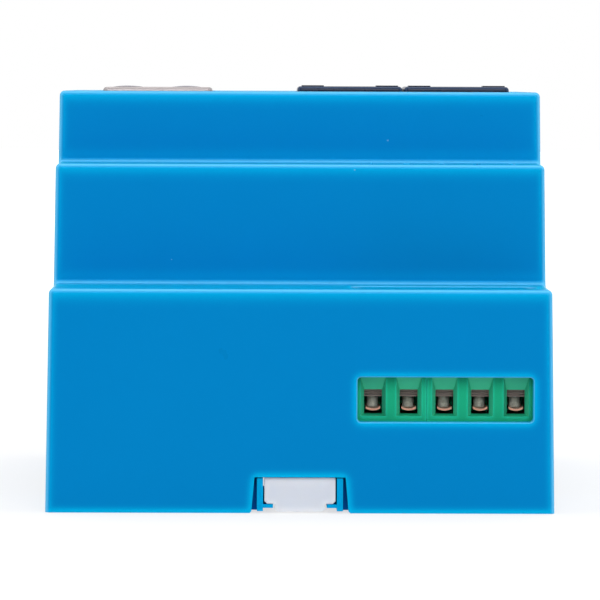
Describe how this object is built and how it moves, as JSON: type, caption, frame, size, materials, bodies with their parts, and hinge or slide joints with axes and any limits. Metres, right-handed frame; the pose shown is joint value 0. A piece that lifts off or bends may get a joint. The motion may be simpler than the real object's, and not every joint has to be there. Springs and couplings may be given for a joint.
{
  "type": "rail-mounted energy meter",
  "caption": "Stepped blue plastic energy meter for a 35 mm rail, with screw terminals, a sprung rail latch and modular jacks in its front face.",
  "frame": {"origin": "middle of the bounding box's bottom, on the plane of the rear rim", "axes": "+Z from the rail side to the front face, Y along the length with the supply terminals and the rail latch's pull end at -Y, X along the rail"},
  "size_m": [0.071, 0.09, 0.0595],
  "materials": {
    "housing_blue": "moulded blue plastic, satin",
    "base_blue": "moulded blue plastic, satin",
    "latch_white": "moulded white plastic",
    "board_green": "green lacquer over glass laminate",
    "small_screws": "zinc-plated steel",
    "terminal_green": "moulded green plastic, satin",
    "clamp_metal": "tinned steel",
    "guard_copper": "bare copper alloy strip",
    "clamp_screw_metal": "zinc-plated steel",
    "shield_metal": "tinned sheet",
    "jack_black": "moulded black plastic",
    "contact_gold": "gold-plated spring wire",
    "lamp_white": "moulded lamp body",
    "light_pipe_clear": "clear moulded plastic",
    "ferrite_grey": "sintered ferrite",
    "winding_yellow": "wound coil under yellow tape",
    "capacitor_sleeve": "sleeved aluminium can",
    "fuse_brown": "boxed fuse",
    "varistor_blue": "lacquered disc",
    "chip_black": "moulded chip with tinned pins"
  },
  "bodies": {
    "meter": {"cover": "housing_blue", "rear_base": "base_blue", "power_board": "board_green", "comms_board": "board_green", "riser_board": "board_green", "board_screws": "small_screws", "comms_board_screws": "small_screws", "supply_terminal_block_1": "terminal_green", "supply_terminal_block_2": "terminal_green", "sensor_terminal_block_1": "terminal_green", "sensor_terminal_block_2": "terminal_green", "supply_clamp_cages": "clamp_metal", "sensor_clamp_cages": "clamp_metal", "network_jack_shield": "shield_metal", "network_jack_body": "jack_black", "network_jack_contacts": "contact_gold", "bus_jack_left_body": "jack_black", "bus_jack_left_contacts": "contact_gold", "bus_jack_right_body": "jack_black", "bus_jack_right_contacts": "contact_gold", "status_lamps": "lamp_white", "light_pipes": "light_pipe_clear", "transformer_core": "ferrite_grey", "transformer_winding": "winding_yellow", "bulk_capacitor_left": "capacitor_sleeve", "bulk_capacitor_right": "capacitor_sleeve", "supply_fuse": "fuse_brown", "surge_varistor_1": "varistor_blue", "surge_varistor_2": "varistor_blue", "surge_varistor_3": "varistor_blue", "measuring_chip": "chip_black", "processor_chip": "chip_black"},
    "latch": {"rail_latch": "latch_white"},
    "supply_guard_1": {"supply_wire_guard_1": "guard_copper"},
    "supply_screw_1": {"supply_clamp_screw_1": "clamp_screw_metal"},
    "supply_guard_2": {"supply_wire_guard_2": "guard_copper"},
    "supply_screw_2": {"supply_clamp_screw_2": "clamp_screw_metal"},
    "supply_guard_3": {"supply_wire_guard_3": "guard_copper"},
    "supply_screw_3": {"supply_clamp_screw_3": "clamp_screw_metal"},
    "supply_guard_4": {"supply_wire_guard_4": "guard_copper"},
    "supply_screw_4": {"supply_clamp_screw_4": "clamp_screw_metal"},
    "supply_guard_5": {"supply_wire_guard_5": "guard_copper"},
    "supply_screw_5": {"supply_clamp_screw_5": "clamp_screw_metal"},
    "sensor_guard_1": {"sensor_wire_guard_1": "guard_copper"},
    "sensor_screw_1": {"sensor_clamp_screw_1": "clamp_screw_metal"},
    "sensor_guard_2": {"sensor_wire_guard_2": "guard_copper"},
    "sensor_screw_2": {"sensor_clamp_screw_2": "clamp_screw_metal"},
    "sensor_guard_3": {"sensor_wire_guard_3": "guard_copper"},
    "sensor_screw_3": {"sensor_clamp_screw_3": "clamp_screw_metal"},
    "sensor_guard_4": {"sensor_wire_guard_4": "guard_copper"},
    "sensor_screw_4": {"sensor_clamp_screw_4": "clamp_screw_metal"},
    "sensor_guard_5": {"sensor_wire_guard_5": "guard_copper"},
    "sensor_screw_5": {"sensor_clamp_screw_5": "clamp_screw_metal"},
    "sensor_guard_6": {"sensor_wire_guard_6": "guard_copper"},
    "sensor_screw_6": {"sensor_clamp_screw_6": "clamp_screw_metal"}
  },
  "joints": [
    {"name": "rail_latch_slide", "type": "slide", "parent": "meter", "child": "latch", "axis": [0, -1, 0], "range_m": [0, 0.0035], "stiffness_N_per_m": 2500, "springref_m": -0.001},
    {"name": "supply_guard_slide_1", "type": "slide", "parent": "meter", "child": "supply_guard_1", "axis": [0, 0, 1], "range_m": [-0.0004, 0.0012]},
    {"name": "supply_screw_turn_1", "type": "hinge", "parent": "supply_guard_1", "child": "supply_screw_1", "pos_m": [0.0102, -0.03798, 0.018], "axis": [0, 0, 1], "range_deg": [-321, 961]},
    {"name": "supply_guard_slide_2", "type": "slide", "parent": "meter", "child": "supply_guard_2", "axis": [0, 0, 1], "range_m": [-0.0004, 0.0012]},
    {"name": "supply_screw_turn_2", "type": "hinge", "parent": "supply_guard_2", "child": "supply_screw_2", "pos_m": [0.0152, -0.03798, 0.018], "axis": [0, 0, 1], "range_deg": [-321, 961]},
    {"name": "supply_guard_slide_3", "type": "slide", "parent": "meter", "child": "supply_guard_3", "axis": [0, 0, 1], "range_m": [-0.0004, 0.0012]},
    {"name": "supply_screw_turn_3", "type": "hinge", "parent": "supply_guard_3", "child": "supply_screw_3", "pos_m": [0.0202, -0.03798, 0.018], "axis": [0, 0, 1], "range_deg": [-321, 961]},
    {"name": "supply_guard_slide_4", "type": "slide", "parent": "meter", "child": "supply_guard_4", "axis": [0, 0, 1], "range_m": [-0.0004, 0.0012]},
    {"name": "supply_screw_turn_4", "type": "hinge", "parent": "supply_guard_4", "child": "supply_screw_4", "pos_m": [0.0252, -0.03798, 0.018], "axis": [0, 0, 1], "range_deg": [-321, 961]},
    {"name": "supply_guard_slide_5", "type": "slide", "parent": "meter", "child": "supply_guard_5", "axis": [0, 0, 1], "range_m": [-0.0004, 0.0012]},
    {"name": "supply_screw_turn_5", "type": "hinge", "parent": "supply_guard_5", "child": "supply_screw_5", "pos_m": [0.0302, -0.03798, 0.018], "axis": [0, 0, 1], "range_deg": [-321, 961]},
    {"name": "sensor_guard_slide_1", "type": "slide", "parent": "meter", "child": "sensor_guard_1", "axis": [0, 0, 1], "range_m": [-0.0004, 0.0012]},
    {"name": "sensor_screw_turn_1", "type": "hinge", "parent": "sensor_guard_1", "child": "sensor_screw_1", "pos_m": [0.0302, 0.03798, 0.018], "axis": [0, 0, 1], "range_deg": [-321, 961]},
    {"name": "sensor_guard_slide_2", "type": "slide", "parent": "meter", "child": "sensor_guard_2", "axis": [0, 0, 1], "range_m": [-0.0004, 0.0012]},
    {"name": "sensor_screw_turn_2", "type": "hinge", "parent": "sensor_guard_2", "child": "sensor_screw_2", "pos_m": [0.0252, 0.03798, 0.018], "axis": [0, 0, 1], "range_deg": [-321, 961]},
    {"name": "sensor_guard_slide_3", "type": "slide", "parent": "meter", "child": "sensor_guard_3", "axis": [0, 0, 1], "range_m": [-0.0004, 0.0012]},
    {"name": "sensor_screw_turn_3", "type": "hinge", "parent": "sensor_guard_3", "child": "sensor_screw_3", "pos_m": [0.0202, 0.03798, 0.018], "axis": [0, 0, 1], "range_deg": [-321, 961]},
    {"name": "sensor_guard_slide_4", "type": "slide", "parent": "meter", "child": "sensor_guard_4", "axis": [0, 0, 1], "range_m": [-0.0004, 0.0012]},
    {"name": "sensor_screw_turn_4", "type": "hinge", "parent": "sensor_guard_4", "child": "sensor_screw_4", "pos_m": [0.0152, 0.03798, 0.018], "axis": [0, 0, 1], "range_deg": [-321, 961]},
    {"name": "sensor_guard_slide_5", "type": "slide", "parent": "meter", "child": "sensor_guard_5", "axis": [0, 0, 1], "range_m": [-0.0004, 0.0012]},
    {"name": "sensor_screw_turn_5", "type": "hinge", "parent": "sensor_guard_5", "child": "sensor_screw_5", "pos_m": [0.0102, 0.03798, 0.018], "axis": [0, 0, 1], "range_deg": [-321, 961]},
    {"name": "sensor_guard_slide_6", "type": "slide", "parent": "meter", "child": "sensor_guard_6", "axis": [0, 0, 1], "range_m": [-0.0004, 0.0012]},
    {"name": "sensor_screw_turn_6", "type": "hinge", "parent": "sensor_guard_6", "child": "sensor_screw_6", "pos_m": [0.0052, 0.03798, 0.018], "axis": [0, 0, 1], "range_deg": [-321, 961]}
  ],
  "couplings": [
    {"joint": "supply_screw_turn_1", "follows": "supply_guard_slide_1", "rad_per_m": 13963},
    {"joint": "supply_screw_turn_2", "follows": "supply_guard_slide_2", "rad_per_m": 13963},
    {"joint": "supply_screw_turn_3", "follows": "supply_guard_slide_3", "rad_per_m": 13963},
    {"joint": "supply_screw_turn_4", "follows": "supply_guard_slide_4", "rad_per_m": 13963},
    {"joint": "supply_screw_turn_5", "follows": "supply_guard_slide_5", "rad_per_m": 13963},
    {"joint": "sensor_screw_turn_1", "follows": "sensor_guard_slide_1", "rad_per_m": 13963},
    {"joint": "sensor_screw_turn_2", "follows": "sensor_guard_slide_2", "rad_per_m": 13963},
    {"joint": "sensor_screw_turn_3", "follows": "sensor_guard_slide_3", "rad_per_m": 13963},
    {"joint": "sensor_screw_turn_4", "follows": "sensor_guard_slide_4", "rad_per_m": 13963},
    {"joint": "sensor_screw_turn_5", "follows": "sensor_guard_slide_5", "rad_per_m": 13963},
    {"joint": "sensor_screw_turn_6", "follows": "sensor_guard_slide_6", "rad_per_m": 13963}
  ]
}
